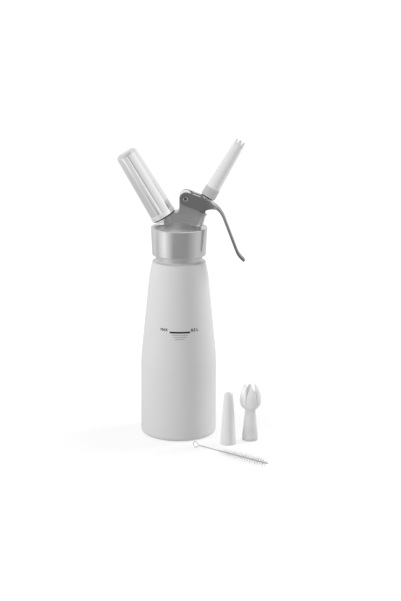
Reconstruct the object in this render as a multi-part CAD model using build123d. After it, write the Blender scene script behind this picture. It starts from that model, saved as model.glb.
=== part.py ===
from build123d import *
from math import atan2, cos, degrees, hypot, pi, radians, sin, sqrt, tan
import os

# Cream whipper: a half-litre flask with a screwed head, a gas charger holder on one
# side, a lever valve with its nozzle on the other, two spare nozzles and a brush.
# Millimetres. Origin at the centre of the flask's foot, +Z up, +X to the nozzle.

# Clearances
seat_gap = 0.1
slide_gap = 0.3
pin_gap = 0.08
thread_gap = 0.4
buried = 0.3

# Flask
flask_radius = 40.0
flask_wall = 1.8
foot_corner = 4.5
foot_dish_radius = 29.0
foot_dish_depth = 2.0
barrel_height = 83.5
barrel_blend = 220.0
flank_slope = 5.7
flank_height = 88.0
flank_blend = 150.0
crown_slope = 10.6
crown_height = 16.5
crown_corner = 2.2
shoulder_rise = 1.0
neck_radius = 24.4
neck_wall = 2.4
neck_height = 24.0

# Screw thread between the flask and its head
head_pitch = 4.0
head_turns = 2.75
head_ridge = 1.6
head_ridge_root = 2.0
head_ridge_crest = 1.0
head_thread_end = 4.0

# Head
collar_gap = 5.4
collar_height = 29.3
collar_foot_radius = 28.2
collar_top_radius = 29.65
collar_edge = 0.8
dome_slope = 18.0
dome_flat_radius = 5.0
dome_fillet = 2.5
gasket_thickness = 2.0
gasket_overhang = 0.9

# Charger side: distances run along its own axis from the point where it meets the flask's axis
charger_tilt = 31.0
charger_apex_drop = 6.0
charger_boss_radius = 11.0
charger_boss_top = 30.0
seal_ring_radius = 12.4
seal_ring_thickness = 1.0
stub_radius = 9.8
stub_length = 13.0
stub_floor = 2.0
holder_pitch = 2.0
holder_turns = 3.75
holder_ridge = 0.8
holder_ridge_root = 0.9
holder_ridge_crest = 0.4
holder_thread_end = 2.0
holder_rim_radius = 13.45
holder_top_radius = 11.3
holder_end_wall = 8.5
holder_top_corner = 4.5
holder_lip = 4.5
holder_lip_step = 0.25
charger_length = 65.5
charger_radius = 9.2
charger_neck_radius = 4.4
charger_neck_length = 10.5
charger_shoulder = 8.0
charger_wall = 1.6
charger_cap = 2.0
charger_base_corner = 4.0
pierced_radius = 1.3
charger_gasket_thickness = 3.5
pin_radius = 0.9
pin_reach = 2.0
pin_point = 1.6
carrier_radius = 2.9
carrier_length = 6.0
gas_hole_radius = 1.2

# Valve side: distances run along the valve's axis from the point where it meets the flask's axis
valve_tilt = 30.0
valve_apex_drop = 10.8
valve_boss_radius = 8.7
valve_boss_top = 43.3
valve_boss_lip = 4.0
valve_boss_flare = 16.0
valve_seat = 20.0
valve_chamber_radius = 6.8
valve_seal_radius = 5.6
valve_seal_thickness = 2.0
valve_head_thickness = 2.5
stem_radius = 3.5
stem_bore_radius = 2.0
stem_port_radius = 1.4
stem_port_offset = 3.0
flow_radius = 4.9
flow_length = 6.0
gland_bore_radius = 6.2
oring_floor = 30.0
oring_section = 1.15
gland_thickness = 3.4
spring_pocket_radius = 6.6
spring_wire = 1.0
spring_radius = 5.2
spring_coils = 6
stem_flange_radius = 6.0
stem_flange_thickness = 1.8
stem_shank_radius = 4.0
adapter_lift = 3.9
washer_thickness = 1.2
washer_radius = 6.4
washer_ledge = 1.0
washer_ledge_radius = 5.4
adapter_pitch = 1.5
adapter_turns = 3.0
adapter_ridge = 0.6
adapter_ridge_root = 0.7
adapter_ridge_crest = 0.3
adapter_thread_gap = 0.3
adapter_thread_end = 1.6
adapter_height = 10.1
adapter_foot_radius = 8.1
adapter_top_radius = 7.75
adapter_edge = 0.5
spigot_radius = 5.5
spigot_length = 11.5
spigot_bore_radius = 2.6

# Lever: measured from its pivot, along the arm and square to it
pivot_out = 6.7
pivot_rise = 40.5
lug_radius = 6.4
arm_tilt = 20.0
arm_half_height = 6.9
cheek_thickness = 1.8
pivot_setback = 0.6
cheek_length = 23.7
cheek_step = 2.7
cheek_step_out = 0.6
cheek_top_length = 17.0
cheek_top_turn = 14.0
cheek_arch_turn = 25.0
cheek_arch_sag = 1.0
prong_start = 5.4
prong_end = 14.0
web_start = 9.0
web_drop = 2.0
web_thickness = 2.0
fork_gap = 0.5
bend_reach = 37.0
bend_radius = 32.0
handle_tilt = 49.0
handle_thickness = 2.4
handle_half_width = 8.2
handle_length = 56.0
curl_turn = 26.0
curl_radius = 22.0
curl_length = 9.0
handle_tip_half_width = 6.0
handle_tip_round = 4.8
handle_tip_corner = 0.9
pivot_radius = 2.0
pivot_head_radius = 3.3
pivot_head_thickness = 1.2
pivot_socket_radius = 1.7
pivot_socket_depth = 1.4
clip_radius = 3.4
clip_thickness = 0.8
clip_groove_depth = 0.5
pivot_end = 1.0
tower_blend = 3.5
tower_flare_rise = 25.0
tower_foot_half_width = 12.4
tower_flare_blend = 10.0

# Nozzles
nozzle_socket_gap = 0.3
nozzle_socket_length = 13.0
nozzle_wall = 1.4
star_foot_radius = 7.5
star_tip_radius = 5.6
star_length = 57.3
star_teeth = 6
star_notch_depth = 6.6
star_notch_width = 3.4
plain_foot_radius = 8.3
plain_tip_radius = 4.7
plain_length = 55.5
plain_tip_round = 3.0
plain_mouth_radius = 1.5
plain_out = 52.8
plain_front = 42.4
tulip_foot_radius = 8.3
tulip_foot_length = 5.0
tulip_neck_radius = 5.4
tulip_neck_height = 33.5
tulip_bulb_radius = 11.4
tulip_bulb_height = 43.0
tulip_tip_radius = 5.0
tulip_length = 60.6
tulip_petals = 6
tulip_slit_width = 0.7
tulip_slit_foot = 42.0
tulip_slit_top = 47.0
tulip_out = 76.2
tulip_front = 28.5

# Cleaning brush
brush_out = 18.6
brush_front = 57.5
brush_turn = -41.9
brush_wire_diameter = 0.9
brush_loop_diameter = 7.0
brush_length = 98.5
bristle_start = 32.0
brush_bare_tip = 3.5
bristle_radius = 5.6
bristle_width = 0.3
bristle_rows = 2
bristles_per_row = 200
bristle_twist = 6.6

# Heights that follow from the sizes above
crown_foot_radius = flask_radius - flank_height * tan(radians(flank_slope))
crown_foot = barrel_height + flank_height
crown_radius = crown_foot_radius - crown_height * tan(radians(crown_slope))
crown_top = crown_foot + crown_height
shoulder_height = crown_top + shoulder_rise
rim_height = shoulder_height + neck_height
ceiling = rim_height + gasket_thickness
collar_foot = shoulder_height + collar_gap
collar_top = collar_foot + collar_height
head_thread_radius = neck_radius + head_ridge + thread_gap
neck_bore_radius = neck_radius - neck_wall

# Places along the charger's axis
charger_apex = ceiling - charger_apex_drop
holder_rim = charger_boss_top + seal_ring_thickness
stub_top = charger_boss_top + stub_length
socket_floor = charger_boss_top + stub_floor
charger_tip = socket_floor + charger_gasket_thickness
charger_base = charger_tip + charger_length
holder_top = charger_base + holder_end_wall
holder_thread_radius = stub_radius + holder_ridge + thread_gap
holder_bore_radius = charger_radius + slide_gap
stub_bore_radius = charger_neck_radius + slide_gap

# Places along the valve's axis
valve_apex = ceiling - valve_apex_drop
valve_lip_foot = valve_boss_top - valve_boss_lip
tower_half_width = valve_boss_radius
cheek_inside = tower_half_width + slide_gap
cheek_outside = cheek_inside + cheek_thickness
pivot_height = ceiling + pivot_rise
lean = radians(valve_tilt - arm_tilt)
pivot_above_apex = pivot_height - valve_apex
pivot_square_to_web = pivot_out * sin(radians(arm_tilt)) + pivot_above_apex * cos(radians(arm_tilt))
web_level = arm_half_height - web_drop
curl_tilt = radians(handle_tilt - curl_turn)
handle_reach = bend_reach + handle_length * cos(radians(handle_tilt)) + curl_length * cos(curl_tilt)
web_top = (pivot_square_to_web + web_level) / cos(lean)
web_under = web_top - web_thickness / cos(lean)
stem_flange_top = web_under - stem_flange_radius * tan(lean) - fork_gap
stem_flange_foot = stem_flange_top - stem_flange_thickness
gland_foot = oring_floor + 2 * oring_section
gland_top = gland_foot + gland_thickness
adapter_foot = web_top + adapter_lift
washer_foot = adapter_foot - washer_thickness
adapter_top = adapter_foot + adapter_height
adapter_thread_radius = stem_shank_radius + adapter_ridge + adapter_thread_gap
nozzle_socket_radius = spigot_radius + nozzle_socket_gap
fork_half_width = stem_shank_radius + fork_gap
bristle_end = brush_length - brush_bare_tip


def polar(angle, length=1.0):
    """A step of this length in the XZ plane, its angle in degrees above +X."""
    return (length * cos(radians(angle)), length * sin(radians(angle)))


def meet(first, first_angle, second, second_angle):
    """Where two lines cross, each given by a point and its angle."""
    a = polar(first_angle)
    b = polar(second_angle)
    gap = (second[0] - first[0], second[1] - first[1])
    along = (gap[0] * b[1] - gap[1] * b[0]) / (a[0] * b[1] - a[1] * b[0])
    return (first[0] + along * a[0], first[1] + along * a[1])


def turned(*outline, radii=None):
    """A solid turned about Z from a closed outline of (radius, height) points."""
    if radii is None:
        edge = Polyline(*outline, close=True)
    else:
        edge = FilletPolyline(*outline, radius=radii, close=True)
    return revolve(Plane.XZ * make_face(edge), Axis.Z)


def disc(radius, foot, top):
    """A plain cylinder on Z between two heights."""
    return turned((0, foot), (radius, foot), (radius, top), (0, top))


def ring(outer, inner, foot, top):
    """A plain ring on Z between two heights."""
    return turned((inner, foot), (outer, foot), (outer, top), (inner, top))


def slab(outline, half_width):
    """A plate standing in the XZ plane, as thick on both sides of Y = 0."""
    return extrude(Plane.XZ * make_face(outline), half_width, both=True)


def on_charger_axis(part):
    return Pos(0, 0, charger_apex) * Rot(0, -charger_tilt, 0) * part


def on_valve_axis(part):
    return Pos(0, 0, valve_apex) * Rot(0, valve_tilt, 0) * part


def on_lever(part):
    return Pos(pivot_out, 0, pivot_height) * Rot(0, arm_tilt, 0) * part


def thread_ridge(radius, foot, turns, pitch, height, root, crest):
    """A helical ridge on a wall of this radius: outward for a height above 0, inward below 0."""
    sink = -buried if height > 0 else buried
    flank = Polyline(
        (radius + sink, -root / 2),
        (radius + height, -crest / 2),
        (radius + height, crest / 2),
        (radius + sink, root / 2),
        close=True,
    )
    ridge = sweep(Plane.XZ * make_face(flank), path=Helix(pitch, turns * pitch, radius), is_frenet=True)
    return Pos(0, 0, foot) * ridge


def flask_outline(inset, foot, top):
    """The flask's outline from its foot up to the crown, this far inside the outer skin."""
    points = [
        (0, foot),
        (flask_radius - inset, foot),
        (flask_radius - inset, barrel_height),
        (crown_foot_radius - inset, crown_foot),
        (crown_radius - inset, top),
        (0, top),
    ]
    radii = (0, foot_corner, barrel_blend, flank_blend, crown_corner, 0)
    return points, radii


def make_flask():
    points, radii = flask_outline(0, 0, crown_top)
    body = turned(*points, radii=radii)
    corner_drop = crown_top - crown_corner
    inner_crown = crown_radius - crown_corner
    body += turned((0, corner_drop), (inner_crown, corner_drop), (inner_crown, crown_top),
                   (neck_radius, shoulder_height), (0, shoulder_height))
    body += disc(neck_radius, shoulder_height, rim_height)
    points, radii = flask_outline(flask_wall, foot_dish_depth + flask_wall, crown_top - flask_wall)
    body -= turned(*points, radii=radii)
    body -= disc(neck_bore_radius, corner_drop - flask_wall, rim_height)
    dish_edge = foot_dish_radius - foot_dish_depth
    body -= turned((0, 0), (foot_dish_radius, 0), (dish_edge, foot_dish_depth), (0, foot_dish_depth))
    ridge_top = rim_height - head_thread_end
    ridge_foot = ridge_top - head_turns * head_pitch
    return body + thread_ridge(neck_radius, ridge_foot, head_turns, head_pitch,
                               head_ridge, head_ridge_root, head_ridge_crest)


def make_head_gasket():
    outer = neck_radius + gasket_overhang
    return ring(outer, neck_bore_radius, rim_height, ceiling)


def dome_height(radius):
    return collar_top + (collar_top_radius - radius) * tan(radians(dome_slope))


def make_tower():
    """The casting between the two bosses: the holder's seat, a neck and the lug of the lever's pin."""
    left = pivot_out - lug_radius
    inside = ceiling + gasket_thickness
    charger_side = 90 + charger_tilt
    valve_side = 90 - valve_tilt
    inside_x, inside_z = polar(charger_side, (inside - charger_apex) / cos(radians(charger_tilt)))
    seat_x, seat_z = polar(charger_side, charger_boss_top)
    reach_x, reach_z = polar(charger_tilt, charger_boss_radius)
    ledge = charger_apex + seat_z + reach_z
    boss_x, boss_z = polar(valve_side, valve_boss_top)
    foot_x, foot_z = polar(valve_side, (inside - valve_apex) / cos(radians(valve_tilt)))
    outline = FilletPolyline(
        (inside_x, charger_apex + inside_z),
        (seat_x, charger_apex + seat_z),
        (seat_x + reach_x, ledge),
        (left, ledge),
        (left, pivot_height),
        (pivot_out, pivot_height),
        (boss_x, valve_apex + boss_z),
        (foot_x, valve_apex + foot_z),
        radius=(0, 0, 0, tower_blend, 0, 0, 0, 0),
        close=True,
    )
    flare = ceiling + tower_flare_rise
    wide = tower_foot_half_width
    section = FilletPolyline(
        (tower_half_width, pivot_height), (tower_half_width, flare), (wide, inside),
        (-wide, inside), (-tower_half_width, flare), (-tower_half_width, pivot_height),
        radius=(0, tower_flare_blend, 0, 0, tower_flare_blend, 0),
        close=True,
    )
    casting = slab(outline, wide) & extrude(Plane.YZ * make_face(section), pivot_height, both=True)
    lug = Pos(pivot_out, 0, pivot_height) * Rot(90, 0, 0) * Cylinder(lug_radius, 2 * tower_half_width)
    return casting + lug


def on_dome_seam(edge):
    """True for an edge where a boss or the tower rises out of the dome."""
    middle = edge @ 0.5
    radius = hypot(middle.X, middle.Y)
    lies_on_dome = abs(middle.Z - dome_height(radius)) < collar_edge / 2
    return lies_on_dome and radius < head_thread_radius and edge.geom_type != GeomType.LINE


def make_head():
    rise = dome_height(dome_flat_radius)
    body = turned(
        (0, ceiling), (head_thread_radius, ceiling), (head_thread_radius, collar_foot),
        (collar_foot_radius, collar_foot), (collar_top_radius, collar_top),
        (dome_flat_radius, rise), (0, rise),
        radii=(0, 0, 0, collar_edge, collar_edge, 0, 0),
    )
    charger_foot = (ceiling - charger_apex + charger_boss_radius) / cos(radians(charger_tilt))
    valve_foot = (ceiling - valve_apex + valve_boss_radius) / cos(radians(valve_tilt))
    body += on_charger_axis(disc(charger_boss_radius, charger_foot, charger_boss_top))
    spread = (valve_lip_foot - valve_foot) * tan(radians(valve_boss_flare))
    body += on_valve_axis(turned(
        (0, valve_foot), (valve_boss_radius + spread, valve_foot), (valve_boss_radius, valve_lip_foot),
        (valve_boss_radius, valve_boss_top), (0, valve_boss_top)))
    body += make_tower()
    body = fillet(body.edges().filter_by(on_dome_seam), dome_fillet)
    body += on_charger_axis(disc(stub_radius, charger_boss_top - buried, stub_top))
    body += on_charger_axis(thread_ridge(
        stub_radius, stub_top - holder_thread_end - holder_turns * holder_pitch, holder_turns, holder_pitch,
        holder_ridge, holder_ridge_root, holder_ridge_crest))
    ridge_foot = rim_height - head_thread_end - head_turns * head_pitch - head_pitch / 2
    body += thread_ridge(head_thread_radius, ridge_foot, head_turns, head_pitch,
                         -head_ridge, head_ridge_root, head_ridge_crest)
    return body - head_bores()


def head_bores():
    """Everything drilled into the head: charger socket, gas passage, valve bore and pivot hole."""
    carrier_foot = socket_floor - carrier_length
    bores = on_charger_axis(disc(stub_bore_radius, socket_floor, stub_top))
    bores += on_charger_axis(disc(carrier_radius + seat_gap, carrier_foot, socket_floor))
    gas_x, gas_z = polar(90 + charger_tilt, carrier_foot)
    bores += Pos(gas_x, 0, 0) * disc(gas_hole_radius, ceiling, charger_apex + gas_z + gas_hole_radius)
    bores += on_valve_axis(disc(valve_chamber_radius, 0, valve_seat))
    bores += on_valve_axis(disc(flow_radius, valve_seat, valve_seat + flow_length))
    bores += on_valve_axis(disc(stem_radius + slide_gap, valve_seat, oring_floor))
    bores += on_valve_axis(disc(gland_bore_radius, oring_floor, gland_top))
    bores += on_valve_axis(disc(spring_pocket_radius, gland_top, stem_flange_top))
    pin_hole = Rot(90, 0, 0) * Cylinder(pivot_radius + pin_gap, 2 * cheek_outside)
    return bores + Pos(pivot_out, 0, pivot_height) * pin_hole


def make_seal_ring():
    inner = stub_radius + holder_ridge + slide_gap
    return on_charger_axis(ring(seal_ring_radius, inner, charger_boss_top, holder_rim))


def make_charger_gasket():
    inner = pin_radius + slide_gap
    return on_charger_axis(ring(stub_bore_radius - seat_gap, inner, socket_floor, charger_tip))


def make_pin_carrier():
    foot = socket_floor - carrier_length
    body = ring(carrier_radius, pin_radius + seat_gap, foot, socket_floor)
    vent_radius = (carrier_radius - pin_radius) / 4
    for turn in range(3):
        vent = Pos((carrier_radius + pin_radius) / 2, 0, 0) * disc(vent_radius, foot, socket_floor)
        body -= Rot(0, 0, turn * 120) * vent
    return on_charger_axis(body)


def make_piercing_pin():
    foot = socket_floor - carrier_length
    tip = charger_tip + pin_reach
    return on_charger_axis(turned((0, foot), (pin_radius, foot), (pin_radius, tip - pin_point), (0, tip)))


def charger_outline(inset, tip, base):
    neck_end = charger_tip + charger_neck_length
    shoulder_end = neck_end + charger_shoulder
    return [
        (0, tip),
        (charger_neck_radius - inset, tip),
        (charger_neck_radius - inset, neck_end),
        (charger_radius - inset, shoulder_end),
        (charger_radius - inset, base),
        (0, base),
    ]


def make_charger():
    neck_blend = charger_shoulder / 4
    wall_blend = charger_shoulder / 3
    inner_corner = charger_base_corner - charger_wall
    cap_end = charger_tip + charger_cap
    shell = turned(*charger_outline(0, charger_tip, charger_base),
                   radii=(0, seat_gap, neck_blend, wall_blend, charger_base_corner, 0))
    hollow = turned(*charger_outline(charger_wall, cap_end, charger_base - charger_wall),
                    radii=(0, seat_gap, neck_blend, wall_blend, inner_corner, 0))
    return on_charger_axis(shell - hollow - disc(pierced_radius, charger_tip, cap_end))


def make_holder():
    lip_radius = holder_rim_radius
    lip_top = holder_rim + holder_lip
    share = holder_lip / (holder_top - holder_rim)
    wall_radius = lip_radius - holder_lip_step - share * (lip_radius - holder_top_radius)
    shell = turned(
        (0, holder_rim), (lip_radius, holder_rim), (lip_radius, lip_top),
        (wall_radius, lip_top + holder_lip_step), (holder_top_radius, holder_top), (0, holder_top),
        radii=(0, collar_edge, 0, 0, holder_top_corner, 0),
    )
    shell -= disc(holder_thread_radius, holder_rim, stub_top + holder_pitch / 2)
    shell -= disc(holder_bore_radius, holder_rim, charger_base)
    ridge_foot = stub_top - holder_thread_end - holder_turns * holder_pitch - holder_pitch / 2
    return on_charger_axis(shell + thread_ridge(
        holder_thread_radius, ridge_foot, holder_turns, holder_pitch,
        -holder_ridge, holder_ridge_root, holder_ridge_crest))


def make_valve_stem():
    """The stem: inner valve head, shank, flange under the lever's fork, ledge and nozzle thread."""
    seal_foot = valve_seat - valve_seal_thickness
    end = adapter_top - slide_gap
    stem = turned(
        (0, seal_foot - valve_head_thickness),
        (valve_seal_radius - slide_gap, seal_foot - valve_head_thickness),
        (valve_seal_radius - slide_gap, seal_foot),
        (stem_radius, seal_foot),
        (stem_radius, stem_flange_foot),
        (stem_flange_radius, stem_flange_foot),
        (stem_flange_radius, stem_flange_top),
        (stem_shank_radius, stem_flange_top),
        (stem_shank_radius, washer_foot - washer_ledge),
        (washer_ledge_radius, washer_foot - washer_ledge),
        (washer_ledge_radius, washer_foot),
        (stem_shank_radius, washer_foot),
        (stem_shank_radius, end),
        (0, end),
    )
    port_height = valve_seat + stem_port_offset
    stem -= disc(stem_bore_radius, port_height - 2 * stem_port_radius, end)
    for turn in (0, 90):
        port = Rot(0, 0, turn) * Rot(90, 0, 0) * Cylinder(stem_port_radius, 4 * stem_radius)
        stem -= Pos(0, 0, port_height) * port
    ridge_foot = adapter_top - adapter_thread_end - adapter_turns * adapter_pitch
    stem += thread_ridge(stem_shank_radius, ridge_foot, adapter_turns, adapter_pitch,
                         adapter_ridge, adapter_ridge_root, adapter_ridge_crest)
    return on_valve_axis(stem)


def make_valve_seal():
    foot = valve_seat - valve_seal_thickness
    return on_valve_axis(ring(valve_seal_radius, stem_radius + seat_gap, foot, valve_seat))


def make_oring():
    middle = (stem_radius + gland_bore_radius) / 2
    section = min(oring_section, middle - stem_radius) - seat_gap
    return on_valve_axis(Pos(0, 0, oring_floor + oring_section) * Torus(middle, section))


def make_gland():
    return on_valve_axis(ring(gland_bore_radius - seat_gap, stem_radius + slide_gap, gland_foot, gland_top))


def coil_path(radius, rise, coils):
    """A helix about Z drawn as a biarc for each quarter turn."""
    quarter = pi / 2
    climb = rise / (coils * 2 * pi)
    arcs = []
    for step in range(coils * 4):
        start, leave = coil_spot(radius, climb, step * quarter)
        end, arrive = coil_spot(radius, climb, (step + 1) * quarter)
        span = end - start
        both = span.dot(leave + arrive)
        spread = 2 * (1 - leave.dot(arrive))
        reach = (sqrt(both * both + spread * span.dot(span)) - both) / spread
        first = start + leave * reach
        second = end - arrive * reach
        joint = (first + second) * 0.5
        arcs.append(TangentArc(start, joint, tangent=leave))
        arcs.append(TangentArc(joint, end, tangent=second - first))
    return Wire(arcs)


def coil_spot(radius, climb, angle):
    """A point on the helix and the way it runs there."""
    spot = Vector(radius * cos(angle), radius * sin(angle), climb * angle)
    heading = Vector(-radius * sin(angle), radius * cos(angle), climb)
    return spot, heading.normalized()


def least_coil_gap(path, coils):
    """The least clear space between points of the wire that are over half a turn apart."""
    steps = 24 * coils
    points = [path @ (step / steps) for step in range(steps + 1)]
    gaps = [
        (points[late] - points[early]).length
        for early in range(steps)
        for late in range(early + 12, steps + 1)
    ]
    return min(gaps) - spring_wire


def make_spring():
    foot = gland_top + spring_wire / 2 + seat_gap
    top = stem_flange_foot - spring_wire / 2 - seat_gap
    path = coil_path(spring_radius, top - foot, spring_coils)
    wire = sweep(Plane(path @ 0, z_dir=path % 0) * Circle(spring_wire / 2), path=path)
    print("spring: least gap %.2f mm" % least_coil_gap(path, spring_coils))
    return on_valve_axis(Pos(0, 0, foot) * wire)


def make_lever():
    pin_hole = Rot(90, 0, 0) * Cylinder(pivot_radius + pin_gap, 3 * cheek_outside)
    return on_lever(lever_strip() + lever_cheeks() - pin_hole) - on_valve_axis(fork_slot())


def fork_slot():
    """The slot of the web: round at the stem, open towards the pivot."""
    foot = stem_flange_top - web_thickness
    open_side = Box(bend_reach, 2 * fork_half_width, adapter_foot - foot,
                    align=(Align.MAX, Align.CENTER, Align.MIN))
    return disc(fork_half_width, foot, adapter_foot) + Pos(0, 0, foot) * open_side


def lever_plan(inset):
    """The lever from above, this far inside its edge: widest at the cheeks, narrower to a round tip."""
    cheek = cheek_outside - inset
    handle = handle_half_width - inset
    tip = handle_tip_half_width - inset
    reach = handle_reach - inset
    tip_round = handle_tip_round - inset
    return make_face(FilletPolyline(
        (-arm_half_height, cheek), (cheek_length, cheek), (bend_reach, handle), (reach, tip),
        (reach, -tip), (bend_reach, -handle), (cheek_length, -cheek), (-arm_half_height, -cheek),
        radius=(0, bend_radius, bend_radius, tip_round, tip_round, bend_radius, bend_radius, 0),
        close=True,
    ))


def lever_strip():
    """Web and handle, one bent strip that narrows to a round tip and curls outwards."""
    handle = -handle_tilt
    tip = handle + curl_turn
    outer_bend = (bend_reach, web_level)
    step = polar(handle, handle_length)
    outer_curl = (outer_bend[0] + step[0], outer_bend[1] + step[1])
    step = polar(tip, curl_length)
    outer_tip = (outer_curl[0] + step[0], outer_curl[1] + step[1])
    under = polar(handle - 90, handle_thickness)
    inner_line = (outer_bend[0] + under[0], outer_bend[1] + under[1])
    under = polar(tip - 90, handle_thickness)
    inner_tip = (outer_tip[0] + under[0], outer_tip[1] + under[1])
    web_foot = web_level - web_thickness
    side = FilletPolyline(
        (web_start, web_level), outer_bend, outer_curl, outer_tip, inner_tip,
        meet(inner_line, handle, inner_tip, tip),
        meet((0, web_foot), 0, inner_line, handle),
        (web_start, web_foot),
        radius=(0, bend_radius, curl_radius, handle_tip_corner, handle_tip_corner,
                curl_radius + handle_thickness, bend_radius - handle_thickness, 0),
        close=True,
    )
    prongs = Polyline((prong_start, web_level), (prong_end, web_level), (prong_end, arm_half_height),
                      (prong_start, arm_half_height), close=True)
    strip = slab(side, cheek_outside) + slab(prongs, cheek_outside)
    return strip & extrude(lever_plan(0), 2 * handle_length, both=True)


def lever_cheeks():
    """The two side plates: round at the pivot, stepped below, arched up into the handle."""
    half = arm_half_height
    bend_start = bend_reach - bend_radius * tan(radians(handle_tilt / 2))

    def on_bend(radius, turn):
        across, up = polar(90 - turn, radius)
        return (bend_start + across, web_level - bend_radius + up)

    step = (cheek_length + cheek_step_out, cheek_step - half)
    top_end = (cheek_top_length, half)
    slope_end = on_bend(bend_radius, cheek_top_turn)
    bend_end = on_bend(bend_radius, handle_tilt)
    arch_end = on_bend(bend_radius - handle_thickness, cheek_arch_turn)
    edge = [
        Line((pivot_setback, half), top_end),
        Line(top_end, slope_end),
        ThreePointArc(slope_end, on_bend(bend_radius, (cheek_top_turn + handle_tilt) / 2), bend_end),
        Line(bend_end, arch_end),
        SagittaArc(arch_end, step, -cheek_arch_sag),
        Line(step, (cheek_length, -half)),
        Line((cheek_length, -half), (pivot_setback, -half)),
        ThreePointArc((pivot_setback, -half), (pivot_setback - half, 0), (pivot_setback, half)),
    ]
    rim = extrude(lever_plan(0) - lever_plan(cheek_thickness), 2 * handle_length, both=True)
    return slab(edge, cheek_outside) & rim


def make_pivot_pin():
    head_foot = cheek_outside + seat_gap
    end = cheek_outside + seat_gap + clip_thickness + pivot_end
    pin = turned(
        (0, -end), (pivot_radius, -end), (pivot_radius, head_foot), (pivot_head_radius, head_foot),
        (pivot_head_radius, head_foot + pivot_head_thickness), (0, head_foot + pivot_head_thickness),
    )
    groove_top = -cheek_outside - seat_gap
    pin -= ring(2 * pivot_radius, pivot_radius - clip_groove_depth, groove_top - clip_thickness, groove_top)
    socket = extrude(RegularPolygon(pivot_socket_radius, 6), -pivot_socket_depth)
    pin -= Pos(0, 0, head_foot + pivot_head_thickness) * socket
    return Pos(pivot_out, 0, pivot_height) * Rot(90, 0, 0) * pin


def make_pivot_clip():
    top = -cheek_outside - seat_gap
    groove_radius = pivot_radius - clip_groove_depth
    clip = ring(clip_radius, groove_radius + seat_gap, top - clip_thickness + seat_gap, top)
    mouth = Box(2 * clip_radius, 2 * groove_radius, 3 * clip_thickness,
                align=(Align.MIN, Align.CENTER, Align.CENTER))
    clip -= Pos(0, 0, top) * mouth
    return Pos(pivot_out, 0, pivot_height) * Rot(90, 0, 0) * clip


def make_adapter_washer():
    inner = stem_shank_radius + adapter_ridge + slide_gap
    return on_valve_axis(ring(washer_radius, inner, washer_foot, adapter_foot))


def make_adapter():
    body = turned(
        (0, adapter_foot), (adapter_foot_radius, adapter_foot),
        (adapter_top_radius, adapter_top), (0, adapter_top),
        radii=(0, adapter_edge, adapter_edge, 0),
    )
    body += disc(spigot_radius, adapter_top - buried, adapter_top + spigot_length)
    body -= disc(adapter_thread_radius, adapter_foot, adapter_top)
    body -= disc(spigot_bore_radius, adapter_top - buried, adapter_top + spigot_length)
    ridge_foot = adapter_top - adapter_thread_end - adapter_turns * adapter_pitch - adapter_pitch / 2
    body += thread_ridge(adapter_thread_radius, ridge_foot, adapter_turns, adapter_pitch,
                         -adapter_ridge, adapter_ridge_root, adapter_ridge_crest)
    return on_valve_axis(body)


def nozzle_socket(foot):
    return disc(nozzle_socket_radius, foot, foot + nozzle_socket_length)


def make_star_nozzle():
    foot = adapter_top
    tip = foot + star_length
    shell = turned((0, foot), (star_foot_radius, foot), (star_tip_radius, tip), (0, tip))
    bore_tip = star_tip_radius - nozzle_wall
    socket_top = foot + nozzle_socket_length
    shell -= nozzle_socket(foot)
    shell -= turned((0, socket_top), (bore_tip, socket_top), (bore_tip, tip), (0, tip))
    half = star_notch_width / 2
    notch = Polyline((0, tip - star_notch_depth), (half, tip), (-half, tip), close=True)
    cutter = extrude(Plane.XZ * make_face(notch), -star_foot_radius)
    for tooth in range(star_teeth):
        shell -= Rot(0, 0, (tooth + 0.5) * 360 / star_teeth) * cutter
    return on_valve_axis(shell)


def make_plain_nozzle():
    bore = plain_tip_radius - nozzle_wall
    bore_end = plain_length - plain_tip_round - nozzle_wall
    shell = turned(
        (0, 0), (plain_foot_radius, 0), (plain_tip_radius, plain_length), (0, plain_length),
        radii=(0, collar_edge, plain_tip_round, 0),
    )
    shell -= nozzle_socket(0)
    shell -= turned((0, nozzle_socket_length), (bore, nozzle_socket_length), (bore, bore_end),
                    (plain_mouth_radius, plain_length - nozzle_wall), (plain_mouth_radius, plain_length),
                    (0, plain_length))
    return Pos(plain_out, -plain_front, 0) * shell


def tulip_outline(inset, foot):
    return [
        Line((0, foot), (tulip_foot_radius - inset, foot)),
        Line((tulip_foot_radius - inset, foot), (tulip_foot_radius - inset, tulip_foot_length)),
        Line((tulip_foot_radius - inset, tulip_foot_length), (tulip_neck_radius - inset, tulip_neck_height)),
        *bulb_edges(inset),
        Line((tulip_tip_radius - inset, tulip_length), (0, tulip_length)),
        Line((0, tulip_length), (0, foot)),
    ]


def bulb_edges(inset):
    """The bulb's two arcs: out from the neck to the widest place, then in to the petal tips."""
    neck = (tulip_neck_radius - inset, tulip_neck_height)
    wide = (tulip_bulb_radius - inset, tulip_bulb_height)
    tip = (tulip_tip_radius - inset, tulip_length)
    return [
        TangentArc(wide, neck, tangent=(0, -1)),
        TangentArc(wide, tip, tangent=(0, 1)),
    ]


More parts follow.
